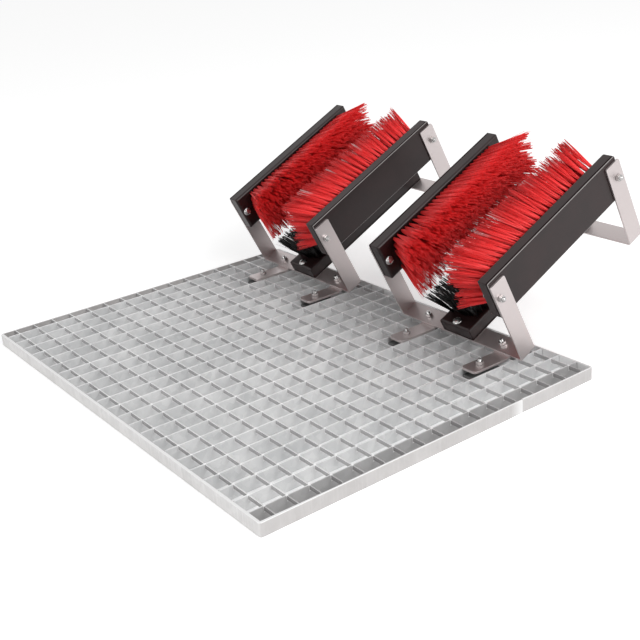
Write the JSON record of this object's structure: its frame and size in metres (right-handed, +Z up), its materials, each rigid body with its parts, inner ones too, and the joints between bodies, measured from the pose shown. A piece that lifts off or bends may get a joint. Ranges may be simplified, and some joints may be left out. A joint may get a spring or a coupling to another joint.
{
  "type": "boot scraper",
  "caption": "Floor grating with tilted three-brush boot cleaning units on bent brackets, bolted along its rear edge.",
  "frame": {"origin": "underside of the middle bearing bar, at the middle bar crossing of the grating", "axes": "+X to the user's right along the long side, +Y to the back where the brush units stand, +Z up"},
  "size_m": [0.7859, 0.777, 0.3028],
  "materials": {
    "galvanised_steel": "hot-dip galvanised, matt light grey",
    "stainless_steel": "satin rolled stainless strip",
    "bolt_steel": "bright stainless fasteners",
    "black_plastic": "satin black moulded plastic",
    "red_bristle": "red monofilament bristles",
    "black_bristle": "black monofilament bristles"
  },
  "bodies": {
    "root": {"grating_core": "galvanised_steel", "edging_strip": "galvanised_steel", "left_unit_front_bracket": "stainless_steel", "left_unit_rear_bracket": "stainless_steel", "left_unit_left_back": "black_plastic", "left_unit_left_bristles": "red_bristle", "left_unit_left_front_screw": "bolt_steel", "left_unit_left_front_nut": "bolt_steel", "left_unit_left_rear_screw": "bolt_steel", "left_unit_left_rear_nut": "bolt_steel", "left_unit_right_back": "black_plastic", "left_unit_right_bristles": "red_bristle", "left_unit_right_front_screw": "bolt_steel", "left_unit_right_front_nut": "bolt_steel", "left_unit_right_rear_screw": "bolt_steel", "left_unit_right_rear_nut": "bolt_steel", "left_unit_bottom_back": "black_plastic", "left_unit_bottom_bristles": "black_bristle", "left_unit_bottom_front_screw": "bolt_steel", "left_unit_bottom_front_nut": "bolt_steel", "left_unit_bottom_rear_screw": "bolt_steel", "left_unit_bottom_rear_nut": "bolt_steel", "left_unit_left_foot": "stainless_steel", "left_unit_left_stud_plate": "galvanised_steel", "left_unit_left_foot_nut": "bolt_steel", "left_unit_left_foot_bolt": "bolt_steel", "left_unit_right_foot": "stainless_steel", "left_unit_right_stud_plate": "galvanised_steel", "left_unit_right_foot_nut": "bolt_steel", "left_unit_right_foot_bolt": "bolt_steel", "right_unit_front_bracket": "stainless_steel", "right_unit_rear_bracket": "stainless_steel", "right_unit_left_back": "black_plastic", "right_unit_left_bristles": "red_bristle", "right_unit_left_front_screw": "bolt_steel", "right_unit_left_front_nut": "bolt_steel", "right_unit_left_rear_screw": "bolt_steel", "right_unit_left_rear_nut": "bolt_steel", "right_unit_right_back": "black_plastic", "right_unit_right_bristles": "red_bristle", "right_unit_right_front_screw": "bolt_steel", "right_unit_right_front_nut": "bolt_steel", "right_unit_right_rear_screw": "bolt_steel", "right_unit_right_rear_nut": "bolt_steel", "right_unit_bottom_back": "black_plastic", "right_unit_bottom_bristles": "black_bristle", "right_unit_bottom_front_screw": "bolt_steel", "right_unit_bottom_front_nut": "bolt_steel", "right_unit_bottom_rear_screw": "bolt_steel", "right_unit_bottom_rear_nut": "bolt_steel", "right_unit_left_foot": "stainless_steel", "right_unit_left_stud_plate": "galvanised_steel", "right_unit_left_foot_nut": "bolt_steel", "right_unit_left_foot_bolt": "bolt_steel", "right_unit_right_foot": "stainless_steel", "right_unit_right_stud_plate": "galvanised_steel", "right_unit_right_foot_nut": "bolt_steel", "right_unit_right_foot_bolt": "bolt_steel"}
  },
  "joints": []
}
